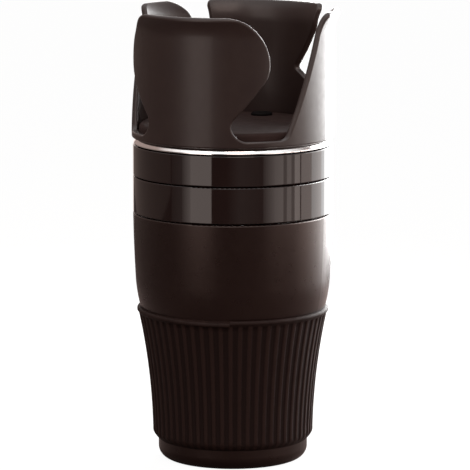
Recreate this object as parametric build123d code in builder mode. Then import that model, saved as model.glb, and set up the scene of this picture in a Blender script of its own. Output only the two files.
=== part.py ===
# Car cup holder: a foot cup with a ribbed rubber sleeve, two trays that swing out, and a petal cup on top.
# Millimetres. The origin is the centre of the foot's underside, +Z is up, and the front petal faces -Y.
# Angles round the cup are counted from the front petal, towards +X.

import os
from math import cos, radians, sin, tan

from build123d import *

os.makedirs("parts", exist_ok=True)

# Heights of the stack
base_height = 114.2
lower_tray_height = 16.4
upper_tray_height = 13.7
layer_gap = 0.5
ring_height = 2.8
cup_height = 58.4

# Outer radii. The trays are flush with the base cup, the ring lies a little inside and the cup stands proud
foot_radius = 34.2
barrel_radius = 45.6
ring_inset = 0.3
cup_overhang = 0.5
tray_radius = barrel_radius
ring_radius = tray_radius - ring_inset
cup_radius = tray_radius + cup_overhang

# Base cup
base_wall = 2.6
base_floor = 3.2
foot_edge_radius = 5.5
base_corner_radius = 4.0
rim_edge_radius = 0.6
barrel_shoulder_rise = 13.4
barrel_shoulder_inset = 1.1
barrel_belly_inset = 0.4

# Ribbed sleeve, its radii measured over the ribs at the foot, at the knee and under the lip
sleeve_bottom = 9.3
sleeve_top = 70.6
sleeve_knee_height = 49.7
sleeve_low_radius = 36.7
sleeve_knee_radius = 39.8
sleeve_high_radius = 43.3
sleeve_low_thickness = 3.2
sleeve_knee_thickness = 2.3
lip_thickness = 2.0
sleeve_fit = 0.05
sleeve_edge_width = 2.5
sleeve_edge_height = 5.1
sleeve_edge_curve = 8.2
sleeve_edge_overcut = 0.6
lip_height = 1.8
lip_overhang = 0.6
lip_top_radius = 0.7
lip_bottom_radius = 0.3
lip_ledge = 0.5
rib_height = 0.55
rib_root_depth = 0.3
rib_count = 60
rib_width_angle = 3.2

# Trays
tray_wall = 2.4
tray_floor = 2.0
tray_edge_radius = 0.45
tray_corner_radius = 2.0

# Petal cup
cup_wall = 2.8
cup_floor = 2.6
cup_floor_rise = 0.2
cup_edge_radius = 0.9
cup_corner_radius = 0.5
spigot_wall = 2.6
ring_width = 2.65
ring_fit = 0.05
ring_edge_radius = 0.35
flare_radius = 14.5
flare_angle = 32.0

# Front notches, between the front petal and the side petals
notch_clear = 0.3
notch_overcut = 5.0
petal_edge_radius = 0.9
petal_edge_clear = 0.05
front_notch_above_floor = 0.2
front_pull_angle = 60.0
front_petal_side = -10.1
front_petal_top_radius = 22.0
front_petal_side_radius = 13.0
front_petal_taper = 37.9
front_petal_taper_start = 26.6
front_neck_radius = 6.5
side_front_foot = -24.4
side_front_lean = 22.3
side_front_foot_radius = 4.0
side_front_top_radius = 5.5

# Rear notches, between the side petals and the rear petal
rear_notch_height = 18.6
rear_pull_angle = 120.0
side_rear_reach = 31.5
side_rear_top_radius = 10.5
side_rear_side_radius = 10.0
side_rear_taper = 30.0
side_rear_taper_start = 19.0
side_rear_neck_radius = 4.5
rear_petal_corner = 30.8
rear_petal_corner_rise = 6.5
rear_petal_lean = 28.6
rear_petal_corner_radius = 2.5
rear_petal_side = 19.8
rear_petal_side_radius = 12.0
rear_petal_foot_slope = 42.0
rear_petal_foot_radius = 5.0
rear_petal_top_radius = 4.0

# The left petal is narrower than the right one: both of its notches sit this many degrees nearer its middle
left_petal_pinch = 5.5

# Pivot post, near the rear wall
pivot_inset = 14.6
hub_radius = 6.5
web_width = 7.0
base_boss_height = 36.0
tube_radius = 4.0
tube_bore_radius = 2.7
tube_clearance = 0.05
washer_radius = 6.3
washer_play = 0.1
insert_radius = 3.5
insert_length = 11.0
screw_radius = 2.2
screw_reach = 14.0
screw_clearance = 0.4
screw_end_room = 2.0
screw_head_radius = 4.0
screw_head_height = 2.6
screw_head_edge_radius = 0.8
screw_recess_radius = 1.6
screw_recess_depth = 1.4
head_washer_radius = 5.6
head_washer_thickness = 1.0
wave_washer_thickness = 0.5
counterbore_radius = 5.9
counterbore_depth = 3.1
cup_hub_radius = 8.4
cap_fit = 0.05
cap_wall = 0.85
cap_rise = 1.3
cap_edge_radius = 1.0

# Mats
mat_clearance = 0.6
mat_thickness = 3.6
mat_edge_radius = 1.8
mat_hole_clearance = 0.3
base_mat_thickness = 2.0
base_mat_clearance = 1.0
base_mat_edge_radius = 0.6

# Levels worked out from the heights
lower_tray_bottom = base_height + layer_gap
lower_tray_top = lower_tray_bottom + lower_tray_height
upper_tray_bottom = lower_tray_top + layer_gap
upper_tray_top = upper_tray_bottom + upper_tray_height
ring_bottom = upper_tray_top + layer_gap
cup_bottom = ring_bottom + ring_height
rim_top = cup_bottom + cup_height
cup_floor_bottom = cup_bottom + cup_floor_rise
cup_floor_top = cup_floor_bottom + cup_floor
front_notch_bottom = cup_floor_top + front_notch_above_floor
rear_notch_bottom = front_notch_bottom + rear_notch_height
counterbore_bottom = cup_floor_top - counterbore_depth
head_washer_bottom = counterbore_bottom + wave_washer_thickness + washer_play
screw_head_bottom = head_washer_bottom + head_washer_thickness
screw_head_top = screw_head_bottom + screw_head_height
mat_top = cup_floor_top + mat_thickness
barrel_shoulder_height = sleeve_top + barrel_shoulder_rise
lip_bottom = sleeve_top - lip_height
lip_radius = sleeve_high_radius + lip_overhang
seat_low_radius = sleeve_low_radius - sleeve_low_thickness
seat_knee_radius = sleeve_knee_radius - sleeve_knee_thickness
seat_high_radius = lip_radius - lip_thickness
base_mat_radius = seat_low_radius - base_wall - base_corner_radius - base_mat_clearance
spigot_radius = ring_radius - ring_width - ring_fit
cap_radius = screw_head_radius + cap_fit + cap_wall
pivot_y = barrel_radius - pivot_inset
pivot = (0, pivot_y)


# Outside of the wall that the sleeve covers, moved inwards by an inset
def seat_line(inset, low_end):
    return ThreePointArc(
        (seat_low_radius - inset, low_end),
        (seat_knee_radius - inset, sleeve_knee_height),
        (seat_high_radius - inset, sleeve_top),
    )


# Outside of the sleeve below its lip, moved inwards by an inset
def sleeve_line(inset):
    return ThreePointArc(
        (sleeve_low_radius - inset, sleeve_bottom),
        (sleeve_knee_radius - inset, sleeve_knee_height),
        (sleeve_high_radius - inset, lip_bottom),
    )


# Upright plane through the cup's axis that faces the direction at this angle from the front
def pull_plane(angle):
    turn = radians(angle)
    return Plane(origin=(0, 0, 0), x_dir=(cos(turn), sin(turn), 0), z_dir=(sin(turn), -cos(turn), 0))


# Flat washer round the pivot
def add_washer(bottom, outer_radius, bore_radius, thickness):
    with BuildSketch(Plane.XY.offset(bottom)) as outline:
        with Locations(pivot):
            Circle(outer_radius)
            Circle(bore_radius, mode=Mode.SUBTRACT)
    extrude(outline.sketch, amount=thickness)


# Pivot boss with a web that runs out into a wall of this outer radius and thickness
def add_boss(top, height, boss_radius, outer_radius, wall):
    web_length = outer_radius - wall / 2 - pivot_y
    with BuildSketch(Plane.XY.offset(top)) as outline:
        with Locations(pivot):
            Circle(boss_radius)
        with Locations((0, pivot_y + web_length / 2)):
            Rectangle(web_width, web_length)
    extrude(outline.sketch, amount=-height)


# Base cup: foot, seat for the sleeve and barrel-shaped body in one moulding
with BuildPart() as base_cup:
    with BuildSketch(Plane.XZ):
        with BuildLine():
            foot = Line((0, 0), (foot_radius - foot_edge_radius, 0))
            foot_edge = JernArc(foot @ 1, foot % 1, foot_edge_radius, 90)
            foot_side = Line(foot_edge @ 1, (foot_radius, sleeve_bottom))
            seat = seat_line(0, sleeve_bottom)
            Line(foot_side @ 1, seat @ 0)
            ledge = Line(seat @ 1, seat @ 1 + (lip_ledge, 0))
            shoulder = (barrel_radius - barrel_shoulder_inset, barrel_shoulder_height)
            belly = (barrel_radius - barrel_belly_inset, (barrel_shoulder_height + base_height) / 2)
            barrel = ThreePointArc((barrel_radius, base_height), belly, shoulder)
            TangentArc(shoulder, ledge @ 1, tangent=barrel % 1)
            rim = Line(barrel @ 0, (barrel_radius - base_wall, base_height))
            inner_belly = (belly[0] - base_wall, belly[1])
            inner_shoulder = (shoulder[0] - base_wall, shoulder[1])
            inner_barrel = ThreePointArc(rim @ 1, inner_belly, inner_shoulder)
            inner_seat = seat_line(base_wall, base_floor)
            TangentArc(inner_shoulder, inner_seat @ 1, tangent=inner_barrel % 1)
            inner_floor = Line(inner_seat @ 0, (0, base_floor))
            Line(inner_floor @ 1, (0, 0))
        make_face()
        fillet(vertices().sort_by_distance(inner_seat @ 0)[0], base_corner_radius)
        fillet(vertices().sort_by_distance(barrel @ 0)[0], rim_edge_radius)
    revolve(axis=Axis.Z)
    add_boss(base_height, base_boss_height, hub_radius, barrel_radius, base_wall)
    with Locations((0, pivot_y, base_height)):
        Hole(insert_radius, insert_length)
        Hole(screw_radius + screw_clearance, screw_reach + screw_end_room)
base_cup.part.label = "base_cup"
export_step(base_cup.part, "parts/base_cup.step")

# Round mat on the base cup's floor
with BuildPart() as base_mat:
    with BuildSketch(Plane.XY.offset(base_floor)):
        Circle(base_mat_radius)
    extrude(amount=base_mat_thickness)
    fillet(base_mat.faces().sort_by(Axis.Z)[-1].edges(), base_mat_edge_radius)
base_mat.part.label = "base_mat"
export_step(base_mat.part, "parts/base_mat.step")

# One rib of the sleeve, from its root just under the surface to its tip
with BuildPart() as rib:
    with BuildSketch(Plane.XZ.rotated((0, 0, -rib_width_angle / 2))):
        with BuildLine():
            root = sleeve_line(rib_height + rib_root_depth)
            tip = sleeve_line(0)
            Line(root @ 0, tip @ 0)
            Line(root @ 1, tip @ 1)
        make_face()
    revolve(axis=Axis.Z, revolution_arc=rib_width_angle)

# Ribbed rubber sleeve with a smooth lip, stretched over its seat
with BuildPart() as grip_sleeve:
    with BuildSketch(Plane.XZ):
        with BuildLine():
            inside = seat_line(-sleeve_fit, sleeve_bottom)
            outside = sleeve_line(rib_height)
            Line(inside @ 0, outside @ 0)
            FilletPolyline(
                outside @ 1,
                (lip_radius, lip_bottom),
                (lip_radius, sleeve_top),
                inside @ 1,
                radius=[lip_bottom_radius, lip_top_radius],
            )
        make_face()
    revolve(axis=Axis.Z)
    with PolarLocations(0, rib_count):
        add(rib.part)
    with BuildSketch(Plane.XZ):
        edge_low = (sleeve_low_radius - sleeve_edge_width, sleeve_bottom)
        edge_top = (sleeve_low_radius + sleeve_edge_overcut, sleeve_bottom + sleeve_edge_height)
        with BuildLine():
            RadiusArc(edge_low, edge_top, -sleeve_edge_curve)
            Polyline(edge_top, (edge_top[0], sleeve_bottom), edge_low)
        make_face()
    revolve(axis=Axis.Z, mode=Mode.SUBTRACT)
grip_sleeve.part.label = "grip_sleeve"
export_step(grip_sleeve.part, "parts/grip_sleeve.step")


# Round open tray with rounded outer edges and a pivot boss on its rear wall
def add_tray(bottom, height):
    top = bottom + height
    with BuildSketch(Plane.XZ) as outline:
        with BuildLine():
            FilletPolyline(
                (0, bottom),
                (tray_radius, bottom),
                (tray_radius, top),
                (tray_radius - tray_wall, top),
                (tray_radius - tray_wall, bottom + tray_floor),
                (0, bottom + tray_floor),
                radius=[0, tray_edge_radius, tray_edge_radius, 0, tray_corner_radius, 0],
                close=True,
            )
        make_face()
    revolve(outline.sketch, axis=Axis.Z)
    add_boss(top, height - tray_floor / 2, hub_radius, tray_radius, tray_wall)
    with Locations((0, pivot_y, top)):
        Hole(tube_radius + tube_clearance, height)


with BuildPart() as lower_tray:
    add_tray(lower_tray_bottom, lower_tray_height)
lower_tray.part.label = "lower_tray"
export_step(lower_tray.part, "parts/lower_tray.step")

with BuildPart() as upper_tray:
    add_tray(upper_tray_bottom, upper_tray_height)
upper_tray.part.label = "upper_tray"
export_step(upper_tray.part, "parts/upper_tray.step")

# Chrome ring round the petal cup's spigot
with BuildPart() as chrome_ring:
    with BuildSketch(Plane.XZ):
        ring_inner_radius = spigot_radius + ring_fit
        with Locations(((ring_radius + ring_inner_radius) / 2, ring_bottom + ring_height / 2)):
            Rectangle(ring_radius - ring_inner_radius, ring_height)
        fillet(vertices().group_by(Axis.X)[-1], ring_edge_radius)
    revolve(axis=Axis.Z)
chrome_ring.part.label = "chrome_ring"
export_step(chrome_ring.part, "parts/chrome_ring.step")

# Front notch on the right side: right of the front petal and in front of the side petal
cut_top = rim_top + notch_clear
cut_limit = rim_top + notch_overcut
cut_reach = cup_radius + flare_radius
with BuildPart() as front_notch:
    with BuildSketch(pull_plane(front_pull_angle)):
        taper_top = cut_top - front_petal_taper_start
        taper_run = (taper_top - front_notch_bottom) * tan(radians(front_petal_taper))
        with BuildLine():
            FilletPolyline(
                (-cut_reach, cut_top),
                (front_petal_side, cut_top),
                (front_petal_side, taper_top),
                (front_petal_side - taper_run, front_notch_bottom),
                (cut_reach, front_notch_bottom),
                (cut_reach, cut_limit),
                (-cut_reach, cut_limit),
                radius=[0, front_petal_top_radius, front_petal_side_radius, front_neck_radius, 0, 0, 0],
                close=True,
            )
        make_face()
    extrude(amount=cut_reach)
    with BuildSketch(pull_plane(90)):
        side_lean_run = (cut_top - front_notch_bottom) * tan(radians(side_front_lean))
        with BuildLine():
            FilletPolyline(
                (-cut_reach, front_notch_bottom),
                (side_front_foot, front_notch_bottom),
                (side_front_foot + side_lean_run, cut_top),
                (cut_reach, cut_top),
                (cut_reach, cut_limit),
                (-cut_reach, cut_limit),
                radius=[0, side_front_foot_radius, side_front_top_radius, 0, 0, 0],
                close=True,
            )
        make_face()
    extrude(amount=cut_reach, mode=Mode.INTERSECT)

# Rear notch on the right side: behind the side petal and right of the rear petal
with BuildPart() as rear_notch:
    with BuildSketch(pull_plane(90)):
        rear_taper_top = cut_top - side_rear_taper_start
        rear_taper_run = (rear_taper_top - rear_notch_bottom) * tan(radians(side_rear_taper))
        with BuildLine():
            FilletPolyline(
                (-cut_reach, cut_top),
                (side_rear_reach, cut_top),
                (side_rear_reach, rear_taper_top),
                (side_rear_reach - rear_taper_run, rear_notch_bottom),
                (cut_reach, rear_notch_bottom),
                (cut_reach, cut_limit),
                (-cut_reach, cut_limit),
                radius=[0, side_rear_top_radius, side_rear_side_radius, side_rear_neck_radius, 0, 0, 0],
                close=True,
            )
        make_face()
    extrude(amount=cut_reach)
    with BuildSketch(pull_plane(rear_pull_angle)):
        corner_level = rear_notch_bottom + rear_petal_corner_rise
        foot_run = rear_petal_corner_rise / tan(radians(rear_petal_foot_slope))
        rear_lean_rise = (rear_petal_corner - rear_petal_side) / tan(radians(rear_petal_lean))
        with BuildLine():
            FilletPolyline(
                (-cut_reach, rear_notch_bottom),
                (rear_petal_corner - foot_run, rear_notch_bottom),
                (rear_petal_corner, corner_level),
                (rear_petal_side, corner_level + rear_lean_rise),
                (rear_petal_side, cut_top),
                (cut_reach, cut_top),
                (cut_reach, cut_limit),
                (-cut_reach, cut_limit),
                radius=[
                    0,
                    rear_petal_foot_radius,
                    rear_petal_corner_radius,
                    rear_petal_side_radius,
                    rear_petal_top_radius,
                    0,
                    0,
                    0,
                ],
                close=True,
            )
        make_face()
    extrude(amount=cut_reach, mode=Mode.INTERSECT)


# Edges of the petals, which lie in the cup's wall above the notches' bottom
def on_petals(edge):
    reach = Vector(edge.center().X, edge.center().Y).length
    in_wall = edge.bounding_box().max.Z > front_notch_bottom - petal_edge_clear
    return in_wall and reach > spigot_radius - spigot_wall


# Petal cup: floor, spigot and four petals with flared lips, one moulding
with BuildPart() as petal_cup:
    with BuildSketch(Plane.XZ):
        with BuildLine():
            lip_middle = flare_radius + cup_wall / 2
            flare_start = rim_top - cup_wall / 2 - lip_middle * sin(radians(flare_angle))
            outer_side = Line((cup_radius, cup_bottom), (cup_radius, flare_start))
            outer_flare = JernArc(outer_side @ 1, (0, 1), flare_radius, -flare_angle)
            inner_side = Line((cup_radius - cup_wall, flare_start), (cup_radius - cup_wall, cup_floor_top))
            inner_flare = JernArc(inner_side @ 0, (0, 1), flare_radius + cup_wall, -flare_angle)
            TangentArc(outer_flare @ 1, inner_flare @ 1, tangent=outer_flare % 1)
            Polyline(
                inner_side @ 1,
                (0, cup_floor_top),
                (0, cup_floor_bottom),
                (spigot_radius - spigot_wall, cup_floor_bottom),
                (spigot_radius - spigot_wall, ring_bottom),
                (spigot_radius, ring_bottom),
                (spigot_radius, cup_bottom),
                outer_side @ 0,
            )
        make_face()
        fillet(vertices().sort_by_distance(outer_side @ 0)[0], cup_edge_radius)
        fillet(vertices().sort_by_distance(inner_side @ 1)[0], cup_corner_radius)
    revolve(axis=Axis.Z)
    with BuildSketch(Plane.XY.offset(ring_bottom)):
        with Locations(pivot):
            Circle(cup_hub_radius)
    extrude(until=Until.NEXT)
    with Locations((0, pivot_y, cup_floor_top)):
        CounterBoreHole(tube_radius + tube_clearance, counterbore_radius, counterbore_depth)
    add(front_notch.part, mode=Mode.SUBTRACT)
    add(rear_notch.part, mode=Mode.SUBTRACT)
    left_front_notch = mirror(front_notch.part, about=Plane.YZ, mode=Mode.PRIVATE)
    left_rear_notch = mirror(rear_notch.part, about=Plane.YZ, mode=Mode.PRIVATE)
    add(left_front_notch.rotate(Axis.Z, -left_petal_pinch), mode=Mode.SUBTRACT)
    add(left_rear_notch.rotate(Axis.Z, left_petal_pinch), mode=Mode.SUBTRACT)
    fillet(petal_cup.edges().filter_by(on_petals), petal_edge_radius)
petal_cup.part.label = "petal_cup"
export_step(petal_cup.part, "parts/petal_cup.step")

# Thick mat with a hole round the pivot cap
with BuildPart() as cup_mat:
    with BuildSketch(Plane.XY.offset(cup_floor_top)):
        Circle(cup_radius - cup_wall - mat_clearance)
        with Locations(pivot):
            Circle(cap_radius + mat_hole_clearance, mode=Mode.SUBTRACT)
    extrude(amount=mat_thickness)
    fillet(cup_mat.faces().sort_by(Axis.Z)[-1].outer_wire().edges(), mat_edge_radius)
cup_mat.part.label = "cup_mat"
export_step(cup_mat.part, "parts/cup_mat.step")

# Steel tube that the trays and the cup turn on, standing on the base boss
tube_top = head_washer_bottom
with BuildPart() as pivot_tube:
    add_washer(base_height, tube_radius, tube_bore_radius, tube_top - base_height)
pivot_tube.part.label = "pivot_tube"
export_step(pivot_tube.part, "parts/pivot_tube.step")

# Spacer washers in the gaps between the layers
spacer_levels = {
    "base_spacer": base_height,
    "lower_tray_spacer": lower_tray_top,
    "upper_tray_spacer": upper_tray_top,
}
for spacer_name, spacer_level in spacer_levels.items():
    with BuildPart() as spacer:
        add_washer(spacer_level, washer_radius, tube_radius + tube_clearance, layer_gap - washer_play)
    spacer.part.label = spacer_name
    export_step(spacer.part, f"parts/{spacer_name}.step")

# Threaded insert pressed into the base boss
with BuildPart() as threaded_insert:
    add_washer(base_height - insert_length, insert_radius, screw_radius, insert_length)
threaded_insert.part.label = "threaded_insert"
export_step(threaded_insert.part, "parts/threaded_insert.step")

# Friction washer in the cup's counterbore
with BuildPart() as wave_washer:
    add_washer(counterbore_bottom, head_washer_radius, tube_radius + tube_clearance, wave_washer_thickness)
wave_washer.part.label = "wave_washer"
export_step(wave_washer.part, "parts/wave_washer.step")

# Washer under the screw head, clamped on the tube's end
with BuildPart() as head_washer:
    screw_hole_radius = screw_radius + screw_clearance
    add_washer(head_washer_bottom, head_washer_radius, screw_hole_radius, head_washer_thickness)
head_washer.part.label = "head_washer"
export_step(head_washer.part, "parts/head_washer.step")

# Pan-head pivot screw with a hexagon recess
with BuildPart() as pivot_screw:
    with BuildSketch(Plane.XY.offset(screw_head_bottom)):
        with Locations(pivot):
            Circle(screw_head_radius)
    extrude(amount=screw_head_height)
    fillet(pivot_screw.faces().sort_by(Axis.Z)[-1].edges(), screw_head_edge_radius)
    with BuildSketch(Plane.XY.offset(screw_head_bottom)):
        with Locations(pivot):
            Circle(screw_radius)
    extrude(amount=base_height - screw_reach - screw_head_bottom)
    with BuildSketch(Plane.XY.offset(screw_head_top)):
        with Locations(pivot):
            RegularPolygon(screw_recess_radius, 6, major_radius=False)
    extrude(amount=-screw_recess_depth, mode=Mode.SUBTRACT)
pivot_screw.part.label = "pivot_screw"
export_step(pivot_screw.part, "parts/pivot_screw.step")

# Black cap that snaps over the screw head and stands out of the mat
with BuildPart() as pivot_cap:
    with BuildSketch(Plane.XY.offset(screw_head_bottom)):
        with Locations(pivot):
            Circle(cap_radius)
    extrude(amount=mat_top + cap_rise - screw_head_bottom)
    fillet(pivot_cap.faces().sort_by(Axis.Z)[-1].edges(), cap_edge_radius)
    with BuildSketch(Plane.XY.offset(screw_head_bottom)):
        with Locations(pivot):
            Circle(screw_head_radius + cap_fit)
    extrude(amount=screw_head_height + cap_fit, mode=Mode.SUBTRACT)
pivot_cap.part.label = "pivot_cap"
export_step(pivot_cap.part, "parts/pivot_cap.step")
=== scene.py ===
# Car cup holder in dark brown plastic: finishes, fine meshes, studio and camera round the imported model.
# Metres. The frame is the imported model's: the origin is under the foot's centre and the front petal faces -Y.
# A bearing is an angle in degrees to the right of the camera, seen from the object.
from math import atan2, cos, pi, radians, sin, sqrt, tan

import bpy
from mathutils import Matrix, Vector


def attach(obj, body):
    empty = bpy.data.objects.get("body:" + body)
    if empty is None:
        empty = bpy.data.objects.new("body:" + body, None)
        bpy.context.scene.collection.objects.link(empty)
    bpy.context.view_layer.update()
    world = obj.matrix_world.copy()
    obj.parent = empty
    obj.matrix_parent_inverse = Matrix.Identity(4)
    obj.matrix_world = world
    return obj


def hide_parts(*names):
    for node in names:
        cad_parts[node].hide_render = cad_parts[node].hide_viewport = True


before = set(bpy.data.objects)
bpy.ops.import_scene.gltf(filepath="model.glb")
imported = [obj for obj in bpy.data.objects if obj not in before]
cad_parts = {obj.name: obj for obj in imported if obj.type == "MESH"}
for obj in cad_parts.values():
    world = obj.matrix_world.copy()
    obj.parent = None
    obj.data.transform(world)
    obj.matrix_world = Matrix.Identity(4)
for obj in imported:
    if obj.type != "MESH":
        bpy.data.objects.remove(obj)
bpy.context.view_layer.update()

MM = 0.001
WHITE = (1, 1, 1)
SCENE = bpy.context.scene

# Camera: where the photograph was taken from, and how far the object fills its 470 pixel frame
CAMERA_AZIMUTH = 25.5
CAMERA_DISTANCE = 1.65
CAMERA_HEIGHT = 0.362
CAMERA_REACH = 20
AIM_HEIGHT = 0.103
AIM_RIGHT = 0.0010
LENS = 279.5
SENSOR = 36.0

# Room: its brightness to the camera and in plain light, and the dark walls and bright ceiling that gloss shows.
# The walls turn into the ceiling between two upward parts of a direction.
BACKDROP = 1.0
AMBIENT = 0.45
DARK_ROOM = (0.2, 0.145, 0.135)
CEILING = (1.5, 1.5, 1.5)
CEILING_FROM = 0.5
CEILING_FULL = 0.75

# Floor: the camera sees a pale one with this share of glowing white over it, and the object a dim one
FLOOR_SIZE = 30.0
FLOOR_PALE = (0.85, 0.84, 0.83)
FLOOR_WHITE = 0.9
FLOOR_GLOW = 1.05
FLOOR_DIM = (0.13, 0.1, 0.093)

# Lights: how much green and blue a light loses as its warmth goes from 0 to 1
WARM_GREEN = 1.4
WARM_BLUE = 2

# Upright panels round the object: from and to which bearing, the radiance at both, their warmth and their place.
# A place is a distance, a lower and an upper edge. Where the radiance changes, a panel is made of strips.
PANEL_STRIPS = 5
STUDIO = (0.62, 0.012, 0.85)
SIDE = (0.62, 0.012, 0.4)
WINDOW = (0.42, 0.012, 0.35)
HIGH = (0.41, 0.1, 0.35)
REAR = (0.42, 0.03, 0.35)
PANELS = {
    "left_rim": (-178, -160, 1.0, 1.0, 0.08, STUDIO),
    "left_fill": (-158, -74, 0.18, 0.18, 0.16, STUDIO),
    "left_glow": (-72, -58, 0.1, 0.25, 0.1, STUDIO),
    "key_edge": (-58, -48, 0.4, 1.5, 0.1, STUDIO),
    "key": (-48, -23.5, 1.95, 1.95, 0.1, STUDIO),
    "front_glow": (-6, 8, 0.0, 0.2, 0.1, STUDIO),
    "front_glow_end": (8, 34, 0.2, 0.1, 0.1, STUDIO),
    "right_edge": (34, 47, 0.35, 1.45, 0.1, SIDE),
    "right": (47, 58, 1.6, 1.95, 0.1, SIDE),
    "right_gap": (58, 62.5, 0.95, 0.95, 0.1, SIDE),
    "window_low": (62.5, 68.5, 1.95, 1.95, 0.1, SIDE),
    "window_gap": (68.5, 73, 1.0, 1.0, 0.1, SIDE),
    "window_post": (73, 81, 2.85, 2.5, 0.1, SIDE),
    "window_side": (81, 98, 2.2, 1.9, 0.1, WINDOW),
    "window": (98, 118, 3.1, 3.7, 0.04, WINDOW),
    "window_rear": (118, 140, 4.2, 8.5, 0.0, WINDOW),
    "window_high": (88, 140, 2.8, 8.0, 0.0, HIGH),
    "window_back": (140, 181, 17.0, 17.0, 0.0, REAR),
}

# Soft boxes above and high in front, which light the object without a mirror image of themselves in its sides:
# bearing, distance, height, size, radiance and warmth. They face the middle of the object.
BOX_AIM = Vector((0, 0, 0.1))
BOXES = {
    "top_box": (0, 0.0, 1.1, 0.7, 0.6, 0.05),
    "front_box": (10, 0.95, 0.95, 0.6, 3.6, 0.15),
}

# Finishes: the middle part of a noise, over which tones and gloss are spread, how wide the noises' features are,
# and how uneven the painted shade between the sleeve's ribs is. A grain is the width and the depth of its features
# in millimetres.
NOISE_MIDDLE = (0.3, 0.7)
TONE_SIZE = 9 * MM
GLOSS_SIZE = 3 * MM
GLOSS_DETAIL = 4
SKIN_ROUGHNESS = 0.16
# Painted shade in the sleeve's grooves: how wide its unevenness is, and over what share of the rib tone it spreads
GROOVE_SHADE_SIZE = 5 * MM
GROOVE_SHADE_SPREAD = (0.65, 1.0)
METAL_TONE_SIZE = 2 * MM
METAL_GLOSS_SIZE = 0.8 * MM
METAL_GRAIN = (0.5, 0.001)

# Sleeve, in millimetres as in the CAD: heights, radii over the ribs at the foot, at the knee and under the lip,
# radii of the seat at the foot, at the knee and at the top, and the rounded lower edge as (radius, height) points
SLEEVE_BOTTOM = 9.3
SLEEVE_KNEE = 49.7
LIP_BOTTOM = 68.8
SLEEVE_TOP = 70.6
SLEEVE_RADII = (36.7, 39.8, 43.3)
SEAT_RADII = (33.55, 37.55, 41.95)
SLEEVE_EDGE = ((34.2, 9.3), (36.05, 11.4), (37.3, 14.4))

# Ribs: how many and how deep, and in degrees from a rib's middle, where a ring has its points and where the rib
# falls off into its grooves. Painted shade darkens the grooves; the lip and the back get a tone between groove and
# rib.
RIBS = 60
RIB_DEPTH = 0.55
RIB_PHASES = (-2.5, -2.0, -1.7, -1.4, -1.1, -0.7, 0.0, 0.7, 1.1, 1.4, 1.7, 2.0, 2.5, 3.0)
RIB_SIDE = (0.75, 2.15)
RIB_ATTRIBUTE = "rib"
PLAIN_TONE = 0.6

# Steps between the sleeve's rings, and in millimetres how far the ribs' rings keep from the edge and from the lip
EDGE_STEPS = 8
RIB_STEPS = 24
SEAT_STEPS = 6
RIBS_OVER_EDGE = 0.3
RIBS_UNDER_LIP = 1.2

# Lip, in millimetres: radius and height of its rings, and the share of the seam's drop that each follows
LIP_BEAD = (
    (43.25, 68.0, 0.4), (43.35, 68.55, 0.8), (43.6, 68.7, 1), (43.82, 68.9, 1), (43.9, 69.2, 1), (43.9, 69.6, 1),
    (43.8, 70.0, 1), (43.6, 70.35, 1), (43.3, 70.52, 1), (42.9, 70.6, 1), (42.3, 70.6, 0),
)

# Moulding seam: in degrees its place, half its width and how near a point belongs to it; in millimetres how far the
# lip drops at it, and in degrees how soon that fades; in millimetres its upright ridge and where that starts
SEAM_ANGLE = 23.6
SEAM_HALF = 0.04
SEAM_REACH = 0.1
SEAM_DROP = 0.8
SEAM_FADE = 80.0
SEAM_RIDGE = 0.15
SEAM_RIDGE_FROM = 58.0

# Base cup, in millimetres: corners of the box round the end of its boss's web, which comes 0.5 out of the barrel's
# back, and the middle of the barrel's surface there. A face is square to an axis from this share of its normal.
WEB_END = ((-3.51, 43.7, 78.19), (3.51, 44.305, 83.03))
WEB_MIDDLE = Vector((0, 44.16, 80.0))
SQUARE_FROM = 0.9999

# Chrome ring, in millimetres: its outer side slopes out from the cup down to a short upright foot. An edge that
# turns by more than this many degrees looks sharp.
RING_PROFILE = ((42.65, 148.6), (43.9, 148.6), (44.05, 148.5), (45.3, 146.4))
RING_FOOT = ((45.3, 146.0), (45.1, 145.8), (42.65, 145.8))
RING_SHARP = 20.0
RING_STEPS = 240


def add(name, data):
    """New object in the scene."""
    thing = bpy.data.objects.new(name, data)
    SCENE.collection.objects.link(thing)
    return thing


def bearing(angle):
    """Level direction at this bearing."""
    turn = radians(CAMERA_AZIMUTH)
    toward = Vector((sin(turn), -cos(turn), 0))
    right = Vector((cos(turn), sin(turn), 0))
    return toward * cos(radians(angle)) + right * sin(radians(angle))


def camera():
    """Camera at the photograph's viewing angle."""
    data = bpy.data.cameras.new("camera")
    data.lens = LENS
    data.sensor_width = SENSOR
    data.clip_end = CAMERA_REACH
    rig = add("camera", data)
    rig.location = bearing(0) * CAMERA_DISTANCE + Vector((0, 0, CAMERA_HEIGHT))
    aim = bearing(90) * AIM_RIGHT + Vector((0, 0, AIM_HEIGHT))
    rig.rotation_euler = (aim - rig.location).to_track_quat("-Z", "Y").to_euler()
    SCENE.camera = rig


def soft_light(name, place, toward, width, height, radiance, warmth):
    """Rectangular light that the camera doesn't see, as bright all over as the radiance says."""
    light = bpy.data.lights.new(name, "AREA")
    light.shape = "RECTANGLE"
    light.size = width
    light.size_y = height
    light.energy = radiance * pi * width * height
    light.color = (1.0, 1.0 - WARM_GREEN * warmth, 1.0 - WARM_BLUE * warmth)
    lamp = add(name, light)
    lamp.location = place
    lamp.rotation_euler = toward.to_track_quat("-Z", "Y").to_euler()
    lamp.visible_camera = False


def panels(name, start, end, first, last, warmth, place):
    """Row of upright strips from one bearing to another, whose radiance goes from the first to the last."""
    distance, low, high = place
    count = 1 if first == last else PANEL_STRIPS
    step = (end - start) / count
    for strip in range(count):
        left = start + step * strip
        right = start + step * (strip + 1)
        toward = bearing((left + right) / 2)
        middle = toward * distance + Vector((0, 0, (low + high) / 2))
        width = 2 * distance * tan(radians((right - left) / 2))
        radiance = first + (last - first) * (strip + 0.5) / count
        soft_light(f"{name}_{strip}", middle, -toward, width, high - low, radiance, warmth)


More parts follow.
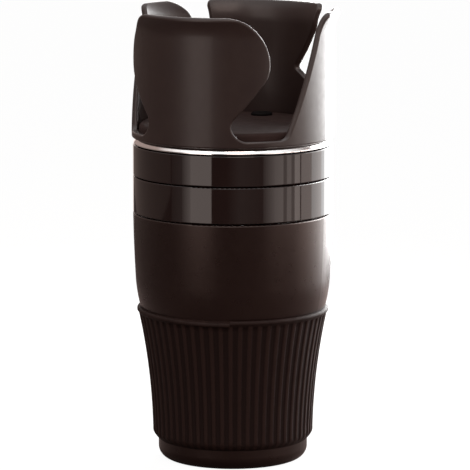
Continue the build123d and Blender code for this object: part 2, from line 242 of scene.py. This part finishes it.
def box(name, angle, distance, height, size, radiance, warmth):
    """Square soft light at a bearing, a distance and a height."""
    place = bearing(angle) * distance + Vector((0, 0, height))
    soft_light(name, place, BOX_AIM - place, size, size, radiance, warmth)


def background(tree, strength):
    """White background of this strength, unless its colour is linked."""
    shader = tree.nodes.new("ShaderNodeBackground")
    shader.inputs["Strength"].default_value = strength
    shader.inputs["Color"].default_value = (*WHITE, 1)
    return shader


def mixed(tree, first, second, share):
    """Mix of two shaders, with the share of the second from a number or from another node."""
    mix = tree.nodes.new("ShaderNodeMixShader")
    if isinstance(share, float):
        mix.inputs["Fac"].default_value = share
    else:
        tree.links.new(share, mix.inputs["Fac"])
    tree.links.new(first.outputs[0], mix.inputs[1])
    tree.links.new(second.outputs[0], mix.inputs[2])
    return mix


def room():
    """White backdrop for the camera, a dark studio with a white ceiling in gloss, plain pale light elsewhere."""
    world = bpy.data.worlds.new("studio")
    SCENE.world = world
    world.use_nodes = True
    tree = world.node_tree
    tree.nodes.clear()
    ray = tree.nodes.new("ShaderNodeLightPath")
    place = tree.nodes.new("ShaderNodeTexCoord")
    height = tree.nodes.new("ShaderNodeSeparateXYZ")
    tone = tree.nodes.new("ShaderNodeValToRGB")
    walls, ceiling = tone.color_ramp.elements
    walls.position, walls.color = CEILING_FROM, (*DARK_ROOM, 1)
    ceiling.position, ceiling.color = CEILING_FULL, (*CEILING, 1)
    dark = background(tree, 1.0)
    tree.links.new(place.outputs["Generated"], height.inputs["Vector"])
    tree.links.new(height.outputs["Z"], tone.inputs["Fac"])
    tree.links.new(tone.outputs["Color"], dark.inputs["Color"])
    lit = mixed(tree, background(tree, AMBIENT), dark, ray.outputs["Is Glossy Ray"])
    seen = mixed(tree, lit, background(tree, BACKDROP), ray.outputs["Is Camera Ray"])
    output = tree.nodes.new("ShaderNodeOutputWorld")
    tree.links.new(seen.outputs[0], output.inputs["Surface"])


def floor():
    """Pale floor that keeps the object's shadow and looks dim from the object."""
    half = FLOOR_SIZE / 2
    corners = [(-half, -half, 0), (half, -half, 0), (half, half, 0), (-half, half, 0)]
    mesh = bpy.data.meshes.new("floor")
    mesh.from_pydata(corners, [], [(0, 1, 2, 3)])
    slab = add("floor", mesh)
    material = bpy.data.materials.new("pale_floor")
    material.use_nodes = True
    tree = material.node_tree
    tree.nodes.clear()
    ray = tree.nodes.new("ShaderNodeLightPath")
    pale = tree.nodes.new("ShaderNodeBsdfDiffuse")
    pale.inputs["Color"].default_value = (*FLOOR_PALE, 1)
    dim = tree.nodes.new("ShaderNodeBsdfDiffuse")
    dim.inputs["Color"].default_value = (*FLOOR_DIM, 1)
    white = tree.nodes.new("ShaderNodeEmission")
    white.inputs["Color"].default_value = (*WHITE, 1)
    white.inputs["Strength"].default_value = FLOOR_GLOW
    seen = mixed(tree, dim, mixed(tree, pale, white, FLOOR_WHITE), ray.outputs["Is Camera Ray"])
    output = tree.nodes.new("ShaderNodeOutputMaterial")
    tree.links.new(seen.outputs[0], output.inputs["Surface"])
    mesh.materials.append(material)


def blank(name):
    """New material, with its shader and the object's own coordinates."""
    material = bpy.data.materials.new(name)
    material.use_nodes = True
    nodes = material.node_tree.nodes
    shader = nodes["Principled BSDF"]
    place = nodes.new("ShaderNodeTexCoord").outputs["Object"]
    return material, shader, place


def noise(material, place, size, detail=3.0):
    """Noise whose features are about this many metres wide."""
    texture = material.node_tree.nodes.new("ShaderNodeTexNoise")
    texture.inputs["Scale"].default_value = 1 / size
    texture.inputs["Detail"].default_value = detail
    material.node_tree.links.new(place, texture.inputs["Vector"])
    return texture.outputs["Fac"]


def spread(material, value, low, high):
    """The middle part of a noise, stretched over low to high."""
    scale = material.node_tree.nodes.new("ShaderNodeMapRange")
    scale.inputs["From Min"].default_value, scale.inputs["From Max"].default_value = NOISE_MIDDLE
    scale.inputs["To Min"].default_value = low
    scale.inputs["To Max"].default_value = high
    material.node_tree.links.new(value, scale.inputs["Value"])
    return scale.outputs["Result"]


def srgb(color):
    """Linear colour of one that is written as it looks on screen, from 0 to 255."""
    return tuple(((v / 255 + 0.055) / 1.055) ** 2.4 if v > 10 else v / 255 / 12.92 for v in color)


def tones(material, value, dark, light):
    """Colour between two tones, by a noise or another value."""
    ramp = material.node_tree.nodes.new("ShaderNodeValToRGB")
    for stop, position, color in zip(ramp.color_ramp.elements, NOISE_MIDDLE, (dark, light)):
        stop.position, stop.color = position, (*srgb(color), 1)
    material.node_tree.links.new(value, ramp.inputs["Fac"])
    return ramp.outputs["Color"]


def relief(material, place, grain):
    """Normal of a fine grained surface."""
    size, depth = grain
    height = noise(material, place, size * MM)
    surface = material.node_tree.nodes.new("ShaderNodeBump")
    surface.inputs["Strength"].default_value = 1.0
    surface.inputs["Distance"].default_value = depth * MM
    material.node_tree.links.new(height, surface.inputs["Height"])
    return surface.outputs["Normal"]


def moulded(name, dark, light, roughness, grain, specular=0.5, sheen=0.0, tint=WHITE):
    """Moulded plastic or rubber: two near tones, uneven gloss, a fine grain and a thin even skin over it."""
    material, shader, place = blank(name)
    links = material.node_tree.links
    links.new(tones(material, noise(material, place, TONE_SIZE), dark, light), shader.inputs["Base Color"])
    gloss = noise(material, place, GLOSS_SIZE, detail=GLOSS_DETAIL)
    links.new(spread(material, gloss, *roughness), shader.inputs["Roughness"])
    links.new(relief(material, place, grain), shader.inputs["Normal"])
    shader.inputs["Specular IOR Level"].default_value = specular
    shader.inputs["Specular Tint"].default_value = (*tint, 1)
    shader.inputs["Coat Weight"].default_value = sheen
    shader.inputs["Coat Roughness"].default_value = SKIN_ROUGHNESS
    return material


def groove_shaded_rubber(name, groove, rib, roughness, grain, specular):
    """Rubber with painted shade in the grooves between its ribs, so that the ribs look a little lighter, unevenly.
    """
    material = moulded(name, groove, rib, roughness, grain, specular)
    nodes = material.node_tree.nodes
    links = material.node_tree.links
    place = nodes["Texture Coordinate"].outputs["Object"]
    # Mask of the painted groove shade: 1 on the ribs, 0 in the grooves, made uneven by a noise
    on_rib = nodes.new("ShaderNodeAttribute")
    on_rib.attribute_name = RIB_ATTRIBUTE
    uneven = nodes.new("ShaderNodeMath")
    uneven.operation = "MULTIPLY"
    links.new(on_rib.outputs["Fac"], uneven.inputs[0])
    links.new(spread(material, noise(material, place, GROOVE_SHADE_SIZE), *GROOVE_SHADE_SPREAD), uneven.inputs[1])
    links.new(tones(material, uneven.outputs[0], groove, rib), nodes["Principled BSDF"].inputs["Base Color"])
    return material


def metal(name, dark, light, roughness):
    """Metal with fine turned or plated unevenness."""
    material, shader, place = blank(name)
    links = material.node_tree.links
    links.new(tones(material, noise(material, place, METAL_TONE_SIZE), dark, light), shader.inputs["Base Color"])
    gloss = noise(material, place, METAL_GLOSS_SIZE)
    links.new(spread(material, gloss, *roughness), shader.inputs["Roughness"])
    links.new(relief(material, place, METAL_GRAIN), shader.inputs["Normal"])
    shader.inputs["Metallic"].default_value = 1.0
    return material


def arc(low, middle, high):
    """Function that gives the radius at a height, on the circle through three (radius, height) points."""
    (ar, az), (br, bz), (cr, cz) = low, middle, high
    twice = 2 * (ar * (bz - cz) + br * (cz - az) + cr * (az - bz))
    a, b, c = ar * ar + az * az, br * br + bz * bz, cr * cr + cz * cz
    centre_r = (a * (bz - cz) + b * (cz - az) + c * (az - bz)) / twice
    centre_z = (a * (cr - br) + b * (ar - cr) + c * (br - ar)) / twice
    squared = (ar - centre_r) ** 2 + (az - centre_z) ** 2
    side = 1 if br > centre_r else -1
    return lambda z: centre_r + side * sqrt(max(0, squared - (z - centre_z) ** 2))


def lathe(name, rings, angles, body, material):
    """Smooth closed piece of rings, the last of which joins the first.

    A ring is a function from an angle in degrees to a (radius, height) in millimetres.
    """
    points = []
    for ring in rings:
        for angle in angles:
            radius, height = ring(angle)
            turn = radians(angle)
            points.append((radius * MM * sin(turn), -radius * MM * cos(turn), height * MM))
    across, count = len(angles), len(rings)
    faces = []
    for row in range(count):
        below, above = row * across, (row + 1) % count * across
        for column in range(across):
            beside = (column + 1) % across
            faces.append((below + column, below + beside, above + beside, above + column))
    mesh = bpy.data.meshes.new(name)
    mesh.from_pydata(points, [], faces)
    mesh.materials.append(material)
    mesh.shade_smooth()
    piece = add(name, mesh)
    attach(piece, body)
    return piece


def smooth_step(value, low, high):
    """0 below low, 1 above high and a soft rise between them."""
    share = min(1, max(0, (value - low) / (high - low)))
    return share * share * (3 - 2 * share)


def ribbed_sleeve(material):
    """Rubber sleeve with rounded ribs, a bead for a lip and the step of its moulding seam."""
    pitch = 360 / RIBS
    angles = [rib * pitch + phase for rib in range(RIBS) for phase in RIB_PHASES]
    angles = sorted(angles + [SEAM_ANGLE - SEAM_HALF, SEAM_ANGLE + SEAM_HALF])
    outside = arc(*zip(SLEEVE_RADII, (SLEEVE_BOTTOM, SLEEVE_KNEE, LIP_BOTTOM)))
    inside = arc(*zip(SEAT_RADII, (SLEEVE_BOTTOM, SLEEVE_KNEE, SLEEVE_TOP)))
    edge = arc(*SLEEVE_EDGE)
    edge_top = SLEEVE_EDGE[-1][1]

    def groove(angle):
        from_rib = abs((angle + pitch / 2) % pitch - pitch / 2)
        return RIB_DEPTH * smooth_step(from_rib, *RIB_SIDE)

    def drop(angle):
        before = (SEAM_ANGLE - angle) % 360
        return SEAM_DROP * (1 - smooth_step(before, 0, SEAM_FADE))

    def ridge(angle, height):
        near = abs(angle - SEAM_ANGLE) < SEAM_REACH
        return SEAM_RIDGE * smooth_step(height, SEAM_RIDGE_FROM, LIP_BOTTOM) if near else 0

    def rim(height):
        return lambda angle: (min(outside(height) - groove(angle), edge(height)), height)

    def wall(height):
        return lambda angle: (outside(height) - groove(angle) + ridge(angle, height), height)

    def plain(radius, height, share):
        return lambda angle: (radius, height - share * drop(angle))

    def seat(height):
        return lambda angle: (inside(height), height)

    def line(low, high, steps):
        return [low + (high - low) * step / steps for step in range(steps + 1)]

    foot = [rim(height) for height in line(SLEEVE_BOTTOM, edge_top, EDGE_STEPS)]
    ribs = [wall(height) for height in line(edge_top + RIBS_OVER_EDGE, LIP_BOTTOM - RIBS_UNDER_LIP, RIB_STEPS)]
    lip = [plain(*point) for point in LIP_BEAD]
    back = [seat(height) for height in line(SLEEVE_TOP, SLEEVE_BOTTOM, SEAT_STEPS)]
    piece = lathe("ribbed_sleeve", foot + ribs + lip + back, angles, "base", material)
    # Painted shade mask: lighter on the ribs, shaded down in the grooves, a middle tone on the lip and the back
    grooved = [1 - groove(angle) / RIB_DEPTH for angle in angles] * len(foot + ribs)
    smooth = [PLAIN_TONE] * (len(angles) * len(lip + back))
    on_rib = piece.data.attributes.new(RIB_ATTRIBUTE, "FLOAT", "POINT")
    on_rib.data.foreach_set("value", grooved + smooth)
    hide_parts("grip_sleeve")


def whole_barrel(node):
    """The base cup with its barrel's surface closed over the end of its boss's web."""
    mesh = node.data
    low, high = WEB_END
    at_end = [all(a < c / MM < b for a, c, b in zip(low, vertex.co, high)) for vertex in mesh.vertices]

    # Everything but the faces of the web's end, and the vertices and normals round the hole that they leave
    faces, normals, edge = [], [], {}
    for face in mesh.polygons:
        if all(at_end[index] for index in face.vertices) and max(abs(c) for c in face.normal) > SQUARE_FROM:
            continue
        faces.append(tuple(face.vertices))
        for vertex, corner in zip(face.vertices, face.loop_indices):
            normals.append(mesh.corner_normals[corner].vector.copy())
            if at_end[vertex]:
                edge[vertex] = normals[-1]

    def turn(vertex):
        across = mesh.vertices[vertex].co / MM - WEB_MIDDLE
        return atan2(across.z, across.x)

    # Fan of triangles over the hole, round a new vertex in its middle
    middle = len(mesh.vertices)
    middle_normal = sum(edge.values(), Vector()).normalized()
    around = sorted(edge, key=turn)
    for vertex, after in zip(around, around[1:] + around[:1]):
        faces.append((middle, after, vertex))
        normals += [middle_normal, edge[after], edge[vertex]]

    # New mesh of the vertices that are still in use
    points = [vertex.co.copy() for vertex in mesh.vertices] + [WEB_MIDDLE * MM]
    used = sorted({index for face in faces for index in face})
    number = {index: place for place, index in enumerate(used)}
    corners = [[number[index] for index in face] for face in faces]
    closed = bpy.data.meshes.new("base_moulding")
    closed.from_pydata([points[index] for index in used], [], corners)
    closed.materials.append(node.material_slots[0].material)
    closed.shade_smooth()
    closed.normals_split_custom_set(normals)
    piece = add("base_moulding", closed)
    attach(piece, "base")
    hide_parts("base_cup")


def trim_ring(material):
    """Chrome ring whose outer side slopes out towards the tray below."""
    angles = [step * 360 / RING_STEPS for step in range(RING_STEPS)]
    rings = [lambda angle, point=point: point for point in RING_PROFILE + RING_FOOT]
    piece = lathe("trim_ring", rings[::-1], angles, "cup", material)
    piece.data.set_sharp_from_angle(angle=radians(RING_SHARP))
    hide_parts("chrome_ring")


camera()
room()
floor()
for name, span in PANELS.items():
    panels(name, *span)
for name, stand in BOXES.items():
    box(name, *stand)

# Two tones, the range of roughness, the grain and what else sets each material slot of the record apart
FINISHES = {
    "body_plastic": moulded(
        "body_satin", (18, 8, 7), (20, 10, 8), (0.27, 0.33), (0.5, 0.0008), specular=0.48, tint=(1, 0.8, 0.74)
    ),
    # Groove tone darkened as painted shade, rib tone lighter
    "sleeve_rubber": groove_shaded_rubber(
        "sleeve_rubber", (24, 13, 11), (36, 23, 20), (0.55, 0.65), (0.3, 0.008), specular=0.12
    ),
    "tray_plastic": moulded("piano_gloss", (25, 14, 13), (27, 16, 14), (0.04, 0.07), (0.4, 0.0004)),
    "cap_plastic": moulded("cap_black", (10, 8, 8), (13, 10, 10), (0.6, 0.7), (0.3, 0.004), specular=0.05),
    "chrome_trim": metal("chrome", (232, 231, 230), (240, 240, 240), (0.08, 0.13)),
    "cup_plastic": moulded(
        "cup_satin", (36, 24, 22), (39, 27, 24), (0.38, 0.46), (0.4, 0.003), specular=0.34, sheen=0.15
    ),
    "mat_rubber": moulded("mat_rubber", (38, 27, 25), (46, 33, 31), (0.7, 0.8), (0.4, 0.02), specular=0.1),
    "steel": metal("zinc_steel", (180, 180, 178), (205, 204, 200), (0.22, 0.38)),
    "nylon": moulded("nylon", (205, 200, 188), (214, 209, 198), (0.4, 0.5), (0.4, 0.004)),
    "brass_insert": metal("brass", (190, 150, 80), (205, 168, 96), (0.2, 0.35)),
}

ribbed_sleeve(FINISHES["sleeve_rubber"])
trim_ring(FINISHES["chrome_trim"])
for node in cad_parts.values():
    for slot in node.material_slots:
        slot.material = FINISHES[slot.material.name]
whole_barrel(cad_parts["base_cup"])

SCENE.view_settings.view_transform = "Standard"
